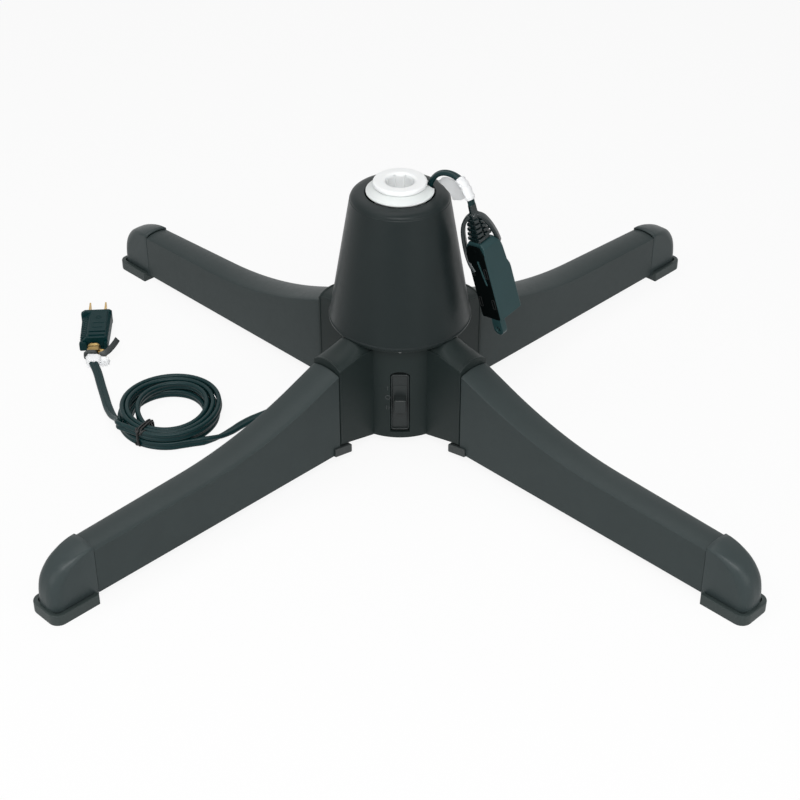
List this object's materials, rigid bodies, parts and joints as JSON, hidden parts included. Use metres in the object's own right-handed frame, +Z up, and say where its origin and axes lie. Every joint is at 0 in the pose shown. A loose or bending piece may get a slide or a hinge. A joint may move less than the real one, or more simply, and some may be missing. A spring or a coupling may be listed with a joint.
{
  "type": "rotating tree stand",
  "caption": "Four-legged motorised stand with a conical tower and a white turning sleeve that takes a pole, an outlet on a short cord that turns with it, and a coiled supply cord with its plug.",
  "frame": {"origin": "on the turning axis, at floor level", "axes": "+Z up along the turning axis; the switch faces -Y; the legs point at 45, 135, 225 and 315 degrees"},
  "size_m": [0.5023, 0.4814, 0.2092],
  "materials": {
    "body_black": "fine moulded grain",
    "leg_black": "fine moulded grain",
    "tower_black": "satin moulded",
    "cap_black": "fine moulded grain",
    "pad_black": "matte",
    "clip_black": "satin",
    "inner_black": "moulded",
    "switch_black": "satin",
    "sleeve_white": "natural nylon",
    "ring_white": "natural nylon",
    "gear_white": "natural acetal",
    "screw_steel": "zinc plated",
    "race_steel": "ground",
    "contact_brass": "plain",
    "cord_green": "satin vinyl",
    "plug_green": "satin vinyl",
    "tap_green": "satin vinyl",
    "tie_black": "vinyl",
    "tag_white": "printed film, bare"
  },
  "bodies": {
    "stand": {"base_housing": "body_black", "base_plate": "inner_black", "base_screws": "screw_steel", "tower_cover": "tower_black", "tower_screws": "screw_steel", "bearing_deck": "screw_steel", "deck_screws": "screw_steel", "lower_race": "race_steel", "bearing_balls": "race_steel", "bush_bridge": "inner_black", "top_bush": "sleeve_white", "idler_pin": "race_steel", "gearbox_plate": "screw_steel", "motor_can": "screw_steel", "motor_screws": "screw_steel", "brush_holder": "inner_black", "contact_brushes": "contact_brass", "switch_body": "switch_black", "internal_leads": "inner_black", "cord_relief": "cord_green", "joint_clips": "clip_black", "leg_screws": "screw_steel", "supply_cord_lead": "cord_green", "supply_cord_coil": "cord_green", "supply_cord_tail": "cord_green", "cord_tie": "tie_black", "plug_body": "plug_green", "plug_blades": "contact_brass", "plug_strap": "tie_black", "cord_tag": "tag_white", "leg_front_left": "leg_black", "end_cap_front_left": "cap_black", "foot_pad_front_left": "pad_black", "leg_front_right": "leg_black", "end_cap_front_right": "cap_black", "foot_pad_front_right": "pad_black", "leg_back_right": "leg_black", "end_cap_back_right": "cap_black", "foot_pad_back_right": "pad_black", "leg_back_left": "leg_black", "end_cap_back_left": "cap_black", "foot_pad_back_left": "pad_black"},
    "turning_head": {"turning_sleeve": "sleeve_white", "pole_adapter": "ring_white", "drive_gear": "gear_white", "upper_race": "race_steel", "slip_ring_carrier": "inner_black", "slip_rings": "contact_brass", "tap_cord": "cord_green", "tap_relief_boot": "tap_green", "tap_body": "tap_green", "tap_contacts": "contact_brass", "tap_tag": "tag_white"},
    "idler": {"idler_gear": "gear_white"},
    "pinion": {"motor_pinion": "gear_white"},
    "slider": {"switch_slider": "switch_black"}
  },
  "joints": [
    {"name": "sleeve_spin", "type": "hinge", "parent": "stand", "child": "turning_head", "pos_m": [0, 0, 0.1], "axis": [0, 0, 1], "continuous": true},
    {"name": "idler_spin", "type": "hinge", "parent": "stand", "child": "idler", "pos_m": [0.00673, 0.02511, 0.042], "axis": [0, 0, 1], "continuous": true},
    {"name": "pinion_spin", "type": "hinge", "parent": "stand", "child": "pinion", "pos_m": [-0.00678, 0.02665, 0.042], "axis": [0, 0, 1], "continuous": true},
    {"name": "switch_slide", "type": "slide", "parent": "stand", "child": "slider", "axis": [0, 0, 1], "range_m": [-0.0084, 0.0084]}
  ],
  "couplings": [
    {"joint": "idler_spin", "follows": "sleeve_spin", "ratio": -2.25},
    {"joint": "pinion_spin", "follows": "sleeve_spin", "ratio": 3.2143}
  ]
}
